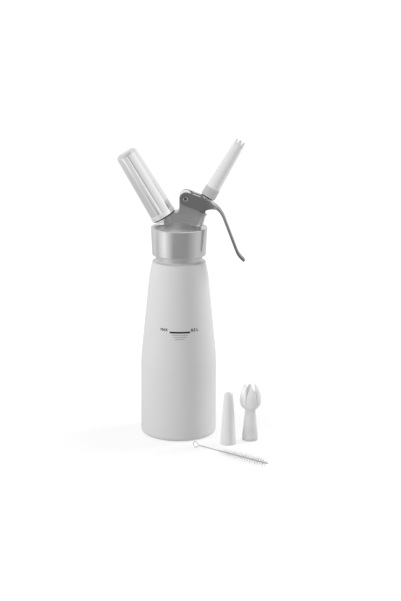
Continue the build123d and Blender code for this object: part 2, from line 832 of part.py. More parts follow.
def make_tulip_nozzle():
    shell = revolve(Plane.XZ * make_face(tulip_outline(0, 0)), Axis.Z)
    hollow = [
        Line((0, tulip_neck_height), (tulip_neck_radius - nozzle_wall, tulip_neck_height)),
        *bulb_edges(nozzle_wall),
        Line((tulip_tip_radius - nozzle_wall, tulip_length), (0, tulip_length)),
        Line((0, tulip_length), (0, tulip_neck_height)),
    ]
    shell -= revolve(Plane.XZ * make_face(hollow), Axis.Z)
    shell -= nozzle_socket(0)
    shell -= disc(tulip_neck_radius - nozzle_wall, nozzle_socket_length, tulip_neck_height)
    half = tulip_slit_width / 2
    tip_half = tulip_tip_radius * sin(pi / tulip_petals)
    slit = Polyline(
        (-half, tulip_slit_foot), (half, tulip_slit_foot), (half, tulip_slit_top), (tip_half, tulip_length),
        (-tip_half, tulip_length), (-half, tulip_slit_top), close=True,
    )
    cutter = extrude(Plane.XZ * make_face(slit), 2 * tulip_bulb_radius)
    for petal in range(tulip_petals):
        shell -= Rot(0, 0, (petal + 0.5) * 360 / tulip_petals) * cutter
    return Pos(tulip_out, -tulip_front, 0) * shell


def on_brush(part):
    """From the brush's own axis, +X to its tip, to where it lies on the table."""
    rise = bristle_radius - brush_loop_diameter / 2
    lift = degrees(atan2(rise, brush_length))
    loop_spot = Pos(brush_out, -brush_front, brush_loop_diameter / 2)
    return loop_spot * Rot(0, 0, brush_turn) * Rot(0, -lift, 0) * part


def along_x(part):
    return Rot(0, 90, 0) * part


def make_brush_wire():
    loop_radius = (brush_loop_diameter - brush_wire_diameter) / 2
    loop = Rot(90, 0, 0) * Torus(loop_radius, brush_wire_diameter / 2)
    shank = along_x(disc(brush_wire_diameter, loop_radius, bristle_start))
    return on_brush(loop + shank)


def make_bristles():
    """Strands in two spiral rows round the twisted wire, cut where they meet the table."""
    core_end = brush_length - bristle_start
    core = along_x(disc(brush_wire_diameter, bristle_start, bristle_start + core_end))
    strands = []
    for row in range(bristle_rows):
        for count in range(bristles_per_row):
            share = (count + 0.5) / bristles_per_row
            spot = bristle_start + share * (bristle_end - bristle_start)
            turn = 360 * (spot / bristle_twist + row / bristle_rows)
            strands.append(Pos(spot, 0, 0) * Rot(turn, 0, 0) * bristle(spot, turn))
    return on_brush(core.fuse(*strands))


def bristle(spot, turn):
    """One three-sided strand along Z, shortened where it would go through the table."""
    axis_height = brush_loop_diameter / 2 + (bristle_radius - brush_loop_diameter / 2) * spot / brush_length
    down = -cos(radians(turn))
    reach = bristle_radius
    if down > 0:
        reach = min(reach, (axis_height - bristle_width) / down)
    strand = RegularPolygon(bristle_width / sqrt(3), 3)
    return extrude(strand, reach)


os.makedirs("parts", exist_ok=True)
pieces = {
    "bottle": make_flask(),
    "head_gasket": make_head_gasket(),
    "head_body": make_head(),
    "holder_seal_ring": make_seal_ring(),
    "charger_gasket": make_charger_gasket(),
    "pin_carrier": make_pin_carrier(),
    "piercing_pin": make_piercing_pin(),
    "gas_charger": make_charger(),
    "charger_holder": make_holder(),
    "valve_stem": make_valve_stem(),
    "valve_seal": make_valve_seal(),
    "stem_oring": make_oring(),
    "valve_gland": make_gland(),
    "valve_spring": make_spring(),
    "lever": make_lever(),
    "pivot_pin": make_pivot_pin(),
    "pivot_clip": make_pivot_clip(),
    "adapter_washer": make_adapter_washer(),
    "nozzle_adapter": make_adapter(),
    "star_nozzle": make_star_nozzle(),
    "plain_nozzle": make_plain_nozzle(),
    "tulip_nozzle": make_tulip_nozzle(),
    "brush_wire": make_brush_wire(),
    "brush_bristles": make_bristles(),
}
for name, solid in pieces.items():
    export_step(solid, "parts/" + name + ".step")
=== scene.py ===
import random
from math import asin, atan2, cos, pi, radians, sin, sqrt, tan

import bpy
from mathutils import Matrix, Vector


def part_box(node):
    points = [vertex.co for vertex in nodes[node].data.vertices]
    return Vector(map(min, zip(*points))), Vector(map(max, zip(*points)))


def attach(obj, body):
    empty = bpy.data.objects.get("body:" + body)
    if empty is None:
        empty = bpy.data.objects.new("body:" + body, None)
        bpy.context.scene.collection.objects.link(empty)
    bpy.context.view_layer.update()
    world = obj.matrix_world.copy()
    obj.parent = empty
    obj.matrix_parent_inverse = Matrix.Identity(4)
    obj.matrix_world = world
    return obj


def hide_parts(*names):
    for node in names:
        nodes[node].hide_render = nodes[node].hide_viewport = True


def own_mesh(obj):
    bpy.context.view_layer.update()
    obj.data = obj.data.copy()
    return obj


# Cream whipper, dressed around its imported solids. Metres, in the solids' own frame:
# origin at the centre of the flask's foot, +Z up, +X towards the nozzle.
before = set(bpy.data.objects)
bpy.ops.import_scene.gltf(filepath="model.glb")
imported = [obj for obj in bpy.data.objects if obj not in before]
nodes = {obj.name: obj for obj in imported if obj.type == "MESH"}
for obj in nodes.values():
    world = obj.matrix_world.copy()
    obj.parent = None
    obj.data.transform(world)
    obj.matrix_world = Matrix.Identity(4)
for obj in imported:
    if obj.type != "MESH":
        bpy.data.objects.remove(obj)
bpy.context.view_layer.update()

# Viewpoint
# A long lens, almost two metres in front of the flask and higher than the nozzle's mouth. It looks
# along +Y and down at the flask, from a tripod that stands a trace out of level.
mm = 0.001
lens = 104.85
eye = Vector((22.85, -1800.0, 584.9)) * mm
pitch_down = radians(13.75)
roll = radians(0.33)
camera = bpy.data.objects.new("camera", bpy.data.cameras.new("camera"))
camera.data.lens = lens
tilt = Matrix.Rotation(pi / 2 - pitch_down, 4, "X")
camera.matrix_world = Matrix.Translation(eye) @ tilt @ Matrix.Rotation(roll, 4, "Z")
bpy.context.scene.collection.objects.link(camera)
bpy.context.scene.camera = camera
bpy.context.scene.view_settings.view_transform = "Standard"


# Studio room
# A white tent over a pale sheet. The world is the tent's cloth: the camera, mirrors and glass
# see it at full white, and it lights matt surfaces more softly.
class Wire:
    """One shader socket. Arithmetic on it adds Math nodes, and grow() adds any other node."""

    def __init__(self, tree, socket=None):
        self.tree = tree
        self.socket = socket

    def grow(self, kind, settings=None, links=None, output=0):
        """Adds a node of this kind: its settings first, then values or wires on its sockets."""
        node = self.tree.nodes.new("ShaderNode" + kind)
        for name, value in (settings or {}).items():
            if name == "stops":
                set_stops(node.color_ramp, value)
            else:
                setattr(node, name, value)
        for name, value in (links or {}).items():
            connect(value, node.inputs[name])
        return Wire(self.tree, node.outputs[output])

    def math(self, operation, *values):
        """Adds a Math node on wires or plain numbers."""
        return self.grow("Math", {"operation": operation}, dict(enumerate(values)))

    def __add__(self, other):
        return self.math("ADD", self, other)

    def __radd__(self, other):
        return self.math("ADD", other, self)

    def __sub__(self, other):
        return self.math("SUBTRACT", self, other)

    def __rsub__(self, other):
        return self.math("SUBTRACT", other, self)

    def __mul__(self, other):
        return self.math("MULTIPLY", self, other)

    def __rmul__(self, other):
        return self.math("MULTIPLY", other, self)

    def __truediv__(self, other):
        return self.math("DIVIDE", self, other)


def connect(value, socket):
    """Puts a wire, or a plain value, on a socket."""
    if isinstance(value, Wire):
        value.tree.links.new(value.socket, socket)
    else:
        socket.default_value = value


def flat_grey(level):
    """A grey that is the same all over, as a socket or a ramp takes it."""
    return (level, level, level, 1.0)


def set_stops(ramp, stops):
    """Fills a colour ramp with (place, grey level) pairs."""
    while len(ramp.elements) < len(stops):
        ramp.elements.new(1.0)
    for element, (place, level) in zip(ramp.elements, stops):
        element.position = place
        element.color = flat_grey(level)


def new_finish(name, **constants):
    """A material with one shader; what is the same all over is set on the shader's sockets."""
    material = bpy.data.materials.new(name)
    material.use_nodes = True
    shader = material.node_tree.nodes["Principled BSDF"].inputs
    for socket, value in constants.items():
        shader[socket.replace("_", " ")].default_value = value
    spot = Wire(material.node_tree).grow("TexCoord", output="Object")
    return material, shader, spot


def grey(level):
    """A grey colour from a level."""
    return level.grow("CombineColor", links={0: level, 1: level, 2: level})


def add_mesh(name, points, faces, smooth=True):
    """A mesh object from its points and faces."""
    mesh = bpy.data.meshes.new(name)
    mesh.from_pydata([tuple(p) for p in points], [], faces)
    mesh.validate()
    for polygon in mesh.polygons:
        polygon.use_smooth = smooth
    thing = bpy.data.objects.new(name, mesh)
    bpy.context.scene.collection.objects.link(thing)
    return thing


def larger(first, second):
    """The larger of two values."""
    return first.math("MAXIMUM", first, second)


def seen_directly(start):
    """1 for camera, mirror and glass rays, 0 for the rays that light matt surfaces."""
    rays = [start.grow("LightPath", output=name)
            for name in ("Is Camera Ray", "Is Glossy Ray", "Is Transmission Ray")]
    return larger(larger(rays[0], rays[1]), rays[2])


def length_of(vector):
    """The length of a vector."""
    return vector.grow("VectorMath", {"operation": "LENGTH"}, {0: vector}, output=1)


def rise(value, low, high):
    """0 below low, 1 above high and a soft step between them."""
    return value.grow("MapRange", {"interpolation_type": "SMOOTHSTEP"},
                      {"Value": value, "From Min": low, "From Max": high})


cloth_light = 0.50
world = bpy.data.worlds.new("tent")
bpy.context.scene.world = world
world.use_nodes = True
seen = seen_directly(Wire(world.node_tree))
cloth = world.node_tree.nodes["Background"]
cloth.inputs["Color"].default_value = flat_grey(1.0)
connect(cloth_light + seen * (1.0 - cloth_light), cloth.inputs["Strength"])

floor_reach = 6.0
floor_drop = 0.2 * mm
floor_colour = 0.82
floor_colour_seen = 0.4
floor_glow_mirrored = 0.36
floor_glow_near = 0.68
floor_glow_far = 0.82
floor_near = 0.06
floor_far = 0.25
corners = [(x * floor_reach, y * floor_reach, -floor_drop)
           for x, y in ((-1, -1), (1, -1), (1, 1), (-1, 1))]
floor = add_mesh("floor", corners, [(0, 1, 2, 3)], smooth=False)
sheet, shader, spot = new_finish("floor_sheet", Roughness=0.9, Specular_IOR_Level=0.0,
                                 Emission_Strength=1.0)
seen = seen_directly(spot)
in_view = spot.grow("LightPath", output="Is Camera Ray")
# The floor glows less near the object: painted shade there, which deepens the object's real shadow.
away = rise(length_of(spot), floor_near, floor_far)
glow = floor_glow_near - floor_glow_mirrored + away * (floor_glow_far - floor_glow_near)
connect(grey(floor_colour - seen * (floor_colour - floor_colour_seen)), shader["Base Color"])
connect(grey(seen * floor_glow_mirrored + in_view * glow), shader["Emission Color"])
sheet.cycles.emission_sampling = "NONE"
floor.data.materials.append(sheet)

# Studio lamps and tent wall
# Two soft boxes on stands light the matt surfaces, one at the left and one behind at the right. A
# round wall of sewn cloth is what bright metal mirrors: darker low down at the front, with a slanting
# strip of light across it, and with white sheets at the left and the right.
middle_height = 150 * mm


def soft_box(name, azimuth, distance, height, width, tall, watts):
    """A rectangular lamp that faces the middle of the object. Azimuth 0 is the camera's side."""
    lamp = bpy.data.lights.new(name, "AREA")
    lamp.shape = "RECTANGLE"
    lamp.size = width
    lamp.size_y = tall
    lamp.energy = watts
    holder = bpy.data.objects.new(name, lamp)
    place = Vector((sin(azimuth) * distance, -cos(azimuth) * distance, height))
    aim = (Vector((0, 0, middle_height)) - place).to_track_quat("-Z", "Y")
    holder.matrix_world = Matrix.Translation(place) @ aim.to_matrix().to_4x4()
    holder.visible_camera = False
    holder.visible_glossy = False
    bpy.context.scene.collection.objects.link(holder)
    return holder


soft_box("box_left", azimuth=radians(-68), distance=1.1, height=0.55, width=0.5, tall=0.9, watts=5.5)
soft_box("box_right", azimuth=radians(112), distance=1.2, height=0.5, width=0.4, tall=0.9, watts=8.0)

wall_radius = 0.45
wall_height = 0.8
wall_panes = 96
wall_peak = 1.6
points = []
for pane in range(wall_panes):
    turn = 2 * pi * pane / wall_panes
    points.append((sin(turn) * wall_radius, -cos(turn) * wall_radius, 0))
    points.append((sin(turn) * wall_radius, -cos(turn) * wall_radius, wall_height))
faces = []
for pane in range(wall_panes):
    here = 2 * pane
    after = 2 * ((pane + 1) % wall_panes)
    faces.append((here, after, after + 1, here + 1))
faces.append(tuple(range(1, 2 * wall_panes, 2)))
wall = add_mesh("tent_wall", points, faces)


def along(spot, axis):
    """Distance along an axis through the origin."""
    return spot.grow("VectorMath", {"operation": "DOT_PRODUCT"}, {0: spot, 1: tuple(axis)}, output=1)


def mixed(share, first, second):
    """A colour between two colours."""
    return share.grow("Mix", {"data_type": "RGBA"}, {0: share, 6: first, 7: second}, output=2)


def band(value, start, full, fade, end):
    """1 from full to fade, 0 before start and after end, and soft steps between them."""
    return rise(value, start, full) * (1 - rise(value, fade, end))


def by_azimuth(share, stops):
    """A grey level that changes round the wall, from (degrees from the front, level) pairs."""
    ramp = [(degrees / 360 + 0.5, level / wall_peak) for degrees, level in stops]
    return share.grow("ValToRGB", {"stops": ramp}, {0: share})


across = Vector((1, 0, 0))
back = Vector((0, 1, 0))
up = Vector((0, 0, 1))
low_cloth = [(-180, 0.82), (-145, 0.76), (-122, 0.98), (-100, 0.72), (-62, 1.55), (-44, 0.95),
             (-24, 0.42), (34, 0.42), (80, 0.8), (180, 0.84)]
high_cloth = [(-180, 1.08), (-60, 1.0), (-42, 0.84), (-4, 0.84), (30, 0.92), (72, 1.2),
              (115, 0.94), (140, 1.12), (180, 1.1)]
skirt_grey = flat_grey(0.8 / wall_peak)
front_grey = flat_grey(0.5 / wall_peak)
strip_grey = flat_grey(1.2 / wall_peak)
seam_height = 0.135
seam_slope = 0.5
seam_level_side = -0.06
seam_back_rise = 0.12
seam_back = (-0.44, -0.36)
seam_blur = (-0.02, 0.03)
skirt_heights = (0.04, 0.07)
skirt_sides = (-0.14, -0.10)
front_sides = (-0.07, -0.05, 0.0, 0.06)
front_heights = (0.215, 0.26)
front_fade_heights = (0.29, 0.36)
front_fade = 0.6
strip_middle_turn = -2.3
strip_middle_height = 0.207
strip_slant = 77
strip_turns = (-9, -6, 3, 6)
strip_heights = (0.14, 0.16, 0.26, 0.29)
cloth_wall, shader, spot = new_finish("tent_wall", Base_Color=flat_grey(0.0), Specular_IOR_Level=0.0,
                                      Emission_Strength=wall_peak)
turn = spot.math("ARCTAN2", along(spot, across), -1.0 * along(spot, back))
share = turn / (2 * pi) + 0.5
side = share - 0.5
height = along(spot, up)
skirt = (1 - rise(height, *skirt_heights)) * (1 - rise(side, *skirt_sides))
low_part = mixed(skirt, by_azimuth(share, low_cloth), skirt_grey)
seam = seam_height + seam_slope * larger(side, seam_level_side)
seam = seam + seam_back_rise * (1 - rise(side, *seam_back))
cloth_tone = mixed(rise(height - seam, *seam_blur), low_part, by_azimuth(share, high_cloth))
front = rise(height, *front_heights) * (1 - front_fade * rise(height, *front_fade_heights))
cloth_tone = mixed(front * band(side, *front_sides), cloth_tone, front_grey)
lay = turn * 180 / pi - strip_middle_turn + strip_slant * (height - strip_middle_height)
strip = band(lay, *strip_turns) * band(height, *strip_heights)
connect(mixed(strip, cloth_tone, strip_grey), shader["Emission Color"])
cloth_wall.cycles.emission_sampling = "NONE"
wall.data.materials.append(cloth_wall)
wall.visible_camera = False
wall.visible_diffuse = False
wall.visible_shadow = False
wall.visible_transmission = False


# Flask
# Spun aluminium, lacquered white and baked: a satin skin with a faint orange peel. The neck
# above the shoulder is left bare, so that the head's thread runs on metal.
def wear(node, material):
    """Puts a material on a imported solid."""
    node.data.materials.clear()
    node.data.materials.append(material)


def grain(spot, scale, detail=3.0):
    """A cloudy level from 0 to 1, finer with a larger scale."""
    return spot.grow("TexNoise", links={"Vector": spot, "Scale": scale, "Detail": detail})


def grey_between(level, low, high):
    """A grey colour that goes from low to high with a level from 0 to 1."""
    return level.grow("ValToRGB", {"stops": [(0.0, low), (1.0, high)]}, {0: level})


def relief(height, depth, over=None):
    """A bump of this depth, over rounded edges where their normal is given."""
    links = {"Height": height, "Distance": depth}
    if over is not None:
        links["Normal"] = over
    return height.grow("Bump", links=links)


def soft_edges(spot, radius):
    """The normal of a surface whose edges are rounded by this radius."""
    return spot.grow("Bevel", {"samples": 6}, {"Radius": radius})


def rings(spot, axis, scale):
    """Fine turning marks round an axis."""
    return spot.grow("TexNoise", {"noise_dimensions": "1D"},
                     {"W": along(spot, axis), "Scale": scale, "Detail": 4.0})


neck_foot = 189.3 * mm
lacquer, shader, spot = new_finish("white_lacquer", Coat_Weight=0.15, Coat_Roughness=0.25)
cloud = grain(spot, 22.0, 4.0)
bare = rise(along(spot, up), neck_foot, neck_foot + 0.2 * mm)
marks = rings(spot, up, 2200.0)
skin = mixed(bare, grey_between(cloud, 0.77, 0.81), grey_between(marks, 0.50, 0.60))
connect(skin, shader["Base Color"])
connect(0.40 + cloud * 0.08 - bare * 0.14, shader["Roughness"])
connect(bare, shader["Metallic"])
connect(relief(grain(spot, 900.0, 2.0), 0.02 * mm, soft_edges(spot, 0.8 * mm)), shader["Normal"])
wear(nodes["bottle"], lacquer)

# Fill mark
# Screen-printed on the lacquer at the front: a thick line for the highest filling with a word
# and a number beside it, and three grey lines under it that grow shorter.
flask_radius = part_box("bottle")[1].x
barrel_height = 83.5 * mm
flank_slope = tan(radians(5.7))
ink_lift = 0.03 * mm
ink_thickness = 0.03 * mm
letter_spread = 1 / 32
sharpest_corner = 0.2


def on_flank(arc, height):
    """A point just off the flask's flank: arc length round it from the front, and height."""
    radius = flask_radius - (height - barrel_height) * flank_slope + ink_lift
    return Vector((sin(arc / radius) * radius, -cos(arc / radius) * radius, height))


def printed_line(left, right, height, thickness, steps=16):
    """Points and faces of a printed line round the flank."""
    points = []
    for step in range(steps + 1):
        arc = left + (right - left) * step / steps
        points += [on_flank(arc, height - thickness / 2), on_flank(arc, height + thickness / 2)]
    faces = [(2 * s, 2 * s + 2, 2 * s + 3, 2 * s + 1) for s in range(steps)]
    return points, faces


def embolden(letters, spread):
    """Moves the outline of flat letters outward, so that their strokes grow thicker."""
    sides = set()
    for polygon in letters.polygons:
        corners = tuple(polygon.vertices)
        sides |= set(zip(corners, corners[1:] + corners[:1]))
    outward = {}
    for start, end in sides:
        if (end, start) not in sides:
            run = (letters.vertices[end].co - letters.vertices[start].co).normalized()
            outward.setdefault(start, []).append(Vector((run.y, -run.x, 0)))
            outward.setdefault(end, []).append(Vector((run.y, -run.x, 0)))
    for corner, (first, second) in outward.items():
        sharpness = max(sharpest_corner, 1 + first.dot(second))
        letters.vertices[corner].co += (first + second) * spread / sharpness


def printed_words(text, size, left, height, spacing=1.0):
    """Points and faces of printed letters, from their left end and their base line."""
    curve = bpy.data.curves.new("letters", "FONT")
    curve.body = text
    curve.size = size
    curve.space_character = spacing
    holder = bpy.data.objects.new("letters", curve)
    bpy.context.scene.collection.objects.link(holder)
    bpy.context.view_layer.update()
    flat = bpy.data.meshes.new_from_object(holder)
    embolden(flat, size * letter_spread)
    points = [on_flank(left + v.co.x, height + v.co.y) for v in flat.vertices]
    faces = [tuple(polygon.vertices) for polygon in flat.polygons]
    bpy.data.objects.remove(holder)
    bpy.data.meshes.remove(flat)
    return points, faces


def gather(parts):
    """Points and faces of several parts as one."""
    points = []
    faces = []
    for some_points, some_faces in parts:
        first = len(points)
        points += some_points
        faces += [tuple(first + v for v in face) for face in some_faces]
    return points, faces


def ink(name, darkest, palest, **constants):
    """A dull printing ink with a fine grain."""
    material, shader, spot = new_finish(name, **constants)
    cloud = grain(spot, 1200.0)
    connect(grey_between(cloud, darkest, palest), shader["Base Color"])
    connect(0.4 + cloud * 0.2, shader["Roughness"])
    return material


def print_on_flask(name, parts, material):
    """A thin film of ink on the flask."""
    film = add_mesh(name, *gather(parts), smooth=False)
    film.data.materials.append(material)
    thicken = film.modifiers.new("film", "SOLIDIFY")
    thicken.thickness = ink_thickness
    thicken.offset = 1.0
    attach(film, "bottle")


mark_middle = 1.6 * mm
mark_height = 118.8 * mm
mark_half = 10.7 * mm
line_thickness = 1.7 * mm
line_drop = 0.2 * mm
word_size = 3.6 * mm
word_left = -19.6 * mm
word_foot = 119.8 * mm
word_spacing = 1.08
number_size = 4.3 * mm
number_left = 13.4 * mm
number_foot = 119.3 * mm
first_step_drop = 3.0 * mm
step_drop = 2.1 * mm
step_shrink = 1.9 * mm
step_thickness = 0.5 * mm
step_count = 3
black_ink = ink("black_ink", 0.004, 0.012, Specular_IOR_Level=0.2)
grey_ink = ink("grey_ink", 0.30, 0.36)
print_on_flask("fill_mark", [
    printed_line(mark_middle - mark_half, mark_middle + mark_half, mark_height - line_drop, line_thickness),
    printed_words("MAX", word_size, word_left, word_foot, word_spacing),
    printed_words("0.5 L", number_size, number_left, number_foot),
], black_ink)
step_lines = []
for step in range(step_count):
    half = mark_half - (step + 1) * step_shrink
    step_height = mark_height - first_step_drop - step * step_drop
    step_lines.append(printed_line(mark_middle - half, mark_middle + half, step_height, step_thickness))
print_on_flask("fill_steps", step_lines, grey_ink)


# Head
# Cast aluminium, blasted to a dark satin, over a collar that is turned and brushed round. Bright are the
# milled lug, partly a painted reflection, the valve's mouth and the turned boss under the holder, partly a
# painted highlight. Painted light brightens cast faces turned to the holder's side, and upward cast faces
# round the tower's foot and on the holder's side.
def away_from(spot, place):
    """The vector to a spot from a fixed place."""
    return spot.grow("VectorMath", {"operation": "SUBTRACT"}, {0: spot, 1: tuple(place)})


def size_of(value):
    """A value without its sign."""
    return value.math("ABSOLUTE", value)


def facing_of(spot):
    """The way that the surface faces, in the piece's own frame."""
    return spot.grow("TexCoord", output="Normal")


collar_top = 223.7 * mm
lug_foot = 254.0 * mm
charger_tilt = radians(31)
charger_axis = Vector((-sin(charger_tilt), 0, cos(charger_tilt)))
charger_apex = Vector((0, 0, 209.0)) * mm
charger_boss_radius = 11.0 * mm
charger_boss_end = -15.2 * mm
valve_tilt = radians(30)
valve_square = Vector((cos(valve_tilt), 0, -sin(valve_tilt)))
valve_apex = Vector((0, 0, 204.2 * mm))
mouth_start = 3 * mm
mouth_full = 8 * mm
# How far round the tower the painted light from above reaches.
top_light_width = 14 * mm
top_light_fade = 12 * mm
top_light_end = 10 * mm
top_light_end_fade = 7 * mm
head_metal, shader, spot = new_finish("head_aluminium", Metallic=1.0)
marks = rings(spot, up, 2600.0)
sand = grain(spot, 2500.0)
height = along(spot, up)
length = along(spot, across)
facing = facing_of(spot)
turned = 1 - rise(height, collar_top - 0.6 * mm, collar_top + 0.2 * mm)
cast = rise(height, collar_top + 0.5 * mm, collar_top + 4.0 * mm)
# The lug is bright as milled metal, and partly a painted reflection of the white light over it.
milled_and_reflection = rise(height, lug_foot, lug_foot + 5.0 * mm)
from_apex = away_from(spot, charger_apex)
off_charger = from_apex.grow("VectorMath", {"operation": "CROSS_PRODUCT"},
                             {0: from_apex, 1: tuple(charger_axis)})
off_boss = size_of(length_of(off_charger) - charger_boss_radius)
outer_side = 1 - rise(length, charger_boss_end - 1.0 * mm, charger_boss_end)
turned_boss_and_highlight = (1 - rise(off_boss, 0.1 * mm, 0.5 * mm)) * (1 - turned) * outer_side
past_valve = along(away_from(spot, valve_apex), valve_square)
mouth = rise(past_valve, mouth_start, mouth_full) * (1 - milled_and_reflection)
# Painted light: cast faces turned towards the holder's side are made bright.
painted_left_light = rise(along(facing, -across), 0.6, 0.9)
# Painted light from above: upward cast faces round the tower's foot and on the holder's side are made
# bright.
near_tower = 1 - rise(size_of(along(spot, back)), top_light_width, top_light_width + top_light_fade)
near_tower = near_tower * (1 - rise(length, top_light_end, top_light_end + top_light_end_fade))
painted_top_light = rise(along(facing, up), 0.75, 0.9) * larger(0.6 * near_tower, outer_side)
bright = turned_boss_and_highlight
for mask in (milled_and_reflection, painted_left_light, 0.7 * mouth, painted_top_light):
    bright = larger(bright, mask)
casting = mixed(bright, grey_between(sand, 0.31, 0.37), grey_between(sand, 0.74, 0.80))
# The turned boss's near-white tone is partly a painted highlight.
casting = mixed(turned_boss_and_highlight, casting, grey_between(sand, 0.90, 0.95))
connect(mixed(cast, grey_between(marks, 0.57, 0.64), casting), shader["Base Color"])
roughness = 0.50 + marks * 0.06 - turned * 0.36 - turned_boss_and_highlight * 0.32 - mouth * (1 - turned) * 0.24
connect(roughness, shader["Roughness"])
finish_marks = marks * turned + sand * (1 - turned)
connect(relief(finish_marks, 0.012 * mm, soft_edges(spot, 0.6 * mm)), shader["Normal"])
wear(nodes["head_body"], head_metal)

# Charger holder
# A drawn aluminium tube, turned and polished outside, screwed on the head over the gas charger.
# Its lip is finished to a brighter satin, and its rounded end is a little darker.
lip_top = 35.5 * mm
end_foot = 104.0 * mm
holder_metal, shader, spot = new_finish("holder_aluminium", Metallic=1.0)
marks = rings(spot, charger_axis, 1800.0)
reach = along(away_from(spot, charger_apex), charger_axis)
lip = 1 - rise(reach, lip_top, lip_top + 0.3 * mm)
end = rise(reach, end_foot, end_foot + 3.0 * mm)
polished = mixed(end, grey_between(marks, 0.72, 0.78), grey_between(marks, 0.61, 0.67))
connect(mixed(lip, polished, grey_between(marks, 0.84, 0.90)), shader["Base Color"])
connect(0.07 + marks * 0.05 + lip * 0.25, shader["Roughness"])
connect(relief(marks, 0.006 * mm, soft_edges(spot, 0.5 * mm)), shader["Normal"])
wear(nodes["charger_holder"], holder_metal)

# Gas charger
# A bulb for eight grams of gas, deep drawn from steel and zinc plated. It lies inside the holder,
# which presses its neck on the seal and on the piercing pin.
charger_metal, shader, spot = new_finish("charger_steel", Metallic=1.0)
cloud = grain(spot, 400.0)
connect(grey_between(cloud, 0.52, 0.62), shader["Base Color"])
connect(0.28 + cloud * 0.14, shader["Roughness"])
connect(relief(rings(spot, charger_axis, 1500.0), 0.006 * mm), shader["Normal"])
wear(nodes["gas_charger"], charger_metal)

# Lever
# Pressed steel: two cheeks, a web that presses the valve's stem and a bent handle with a curled
# tip. It is plated dark. Between the cheeks and on the handle's faces turned towards the head it is paler,
# a painted reflection; the handle is lighter than the cheeks, and darker towards its tip.
handle_start = 38 * mm
handle_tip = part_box("lever")[0].z
handle_drop = 52 * mm
handle_lighter_length = 12 * mm
cheek_middle = 9.4 * mm
lever_metal, shader, spot = new_finish("lever_steel", Metallic=1.0)
cloud = grain(spot, 700.0)
length = along(spot, across)
# Painted reflection: paler between the cheeks and on the handle's faces turned towards the head.
between = 1 - rise(size_of(along(spot, back)), cheek_middle - 0.2 * mm, cheek_middle)
under = rise(along(facing_of(spot), -across), 0.2, 0.5)
on_handle = rise(length, handle_start - 4 * mm, handle_start + 4 * mm)
# The handle is made lighter than the cheeks, and darker towards its tip.
handle_lighter = rise(length, handle_start - handle_lighter_length, handle_start)
above_tip = rise(along(spot, up), handle_tip, handle_tip + handle_drop)
handle = mixed(above_tip, grey_between(cloud, 0.21, 0.26), grey_between(cloud, 0.30, 0.36))
outside = mixed(handle_lighter, grey_between(cloud, 0.16, 0.20), handle)
painted_pale_reflection = mixed(on_handle, grey(between), grey(under))
connect(mixed(painted_pale_reflection, outside, grey_between(cloud, 0.55, 0.62)), shader["Base Color"])
connect(0.30 + cloud * 0.1, shader["Roughness"])
connect(relief(cloud, 0.01 * mm, soft_edges(spot, 0.6 * mm)), shader["Normal"])
wear(nodes["lever"], lever_metal)


# Pivot clip, valve parts and piercing pin
# Small pieces turned or ground from stainless steel and left bright, with fine marks from the tool.
# The clip is pressed on the pivot pin's end, and the rest are fitted into the head.
def grained_metal(name, scale, tones, roughness, spread, depth, edge=None):
    """A bare metal with a fine even grain: its tones, its roughness and how far that spreads."""
    material, shader, spot = new_finish(name, Metallic=1.0)
    cloud = grain(spot, scale)
    connect(grey_between(cloud, *tones), shader["Base Color"])
    connect(roughness + cloud * spread, shader["Roughness"])
    connect(relief(cloud, depth, soft_edges(spot, edge) if edge else None), shader["Normal"])
    return material


steel = grained_metal("steel", 900.0, (0.60, 0.68), 0.22, 0.1, 0.006 * mm, 0.3 * mm)
for name in ("pivot_clip", "valve_stem", "valve_gland", "pin_carrier", "piercing_pin"):
    wear(nodes[name], steel)

# Pivot pin
# A turned shoulder screw with a flat round head, plated dark like the lever. Round the socket
# the plating is worn through in spots, and the socket is darkened by painted shade.
pivot = Vector((6.7, 0, 255.5)) * mm
socket_shade_radius = 1.3 * mm
wear_radius = 2.2 * mm
pin_steel, shader, spot = new_finish("pin_steel", Metallic=1.0)
cloud = grain(spot, 900.0)
off_pivot = away_from(spot, pivot)
span = along(off_pivot, across)
climb = along(off_pivot, up)
reach = spot.math("SQRT", span * span + climb * climb)
# Painted shade darkens the socket in the middle of the head.
painted_socket_shade = 1 - rise(reach, socket_shade_radius, socket_shade_radius + 0.4 * mm)
worn = rise(grain(spot, 550.0, 1.0), 0.44, 0.56) * (1 - rise(reach, wear_radius, wear_radius + 0.5 * mm))
plating = mixed(painted_socket_shade, grey_between(worn, 0.18, 0.44), grey_between(cloud, 0.09, 0.12))
connect(plating, shader["Base Color"])
connect(0.22 + cloud * 0.1 + painted_socket_shade * 0.2, shader["Roughness"])
connect(relief(cloud, 0.006 * mm, soft_edges(spot, 0.3 * mm)), shader["Normal"])
wear(nodes["pivot_pin"], pin_steel)

# Seals
# Rings, washers and discs of black nitrile rubber, moulded with a matt skin. Each is squeezed
# between the two metal pieces that it seals.
rubber, shader, spot = new_finish("black_rubber")
cloud = grain(spot, 500.0)
connect(grey_between(cloud, 0.015, 0.03), shader["Base Color"])
connect(0.5 + cloud * 0.2, shader["Roughness"])
connect(relief(grain(spot, 3000.0), 0.01 * mm, soft_edges(spot, 0.2 * mm)), shader["Normal"])
for name in ("holder_seal_ring", "charger_gasket", "valve_seal", "stem_oring", "adapter_washer"):
    wear(nodes[name], rubber)

# Head gasket
# A flat ring of clear silicone, cut from a moulded tube. It lies in the head, and the flask's rim
# presses on it.
silicone, shader, spot = new_finish("clear_seal", Subsurface_Weight=0.3, Subsurface_Scale=0.002,
                                    Subsurface_Radius=(1, 1, 1))
cloud = grain(spot, 300.0)
connect(grey_between(cloud, 0.60, 0.68), shader["Base Color"])
connect(0.3 + cloud * 0.1, shader["Roughness"])
wear(nodes["head_gasket"], silicone)

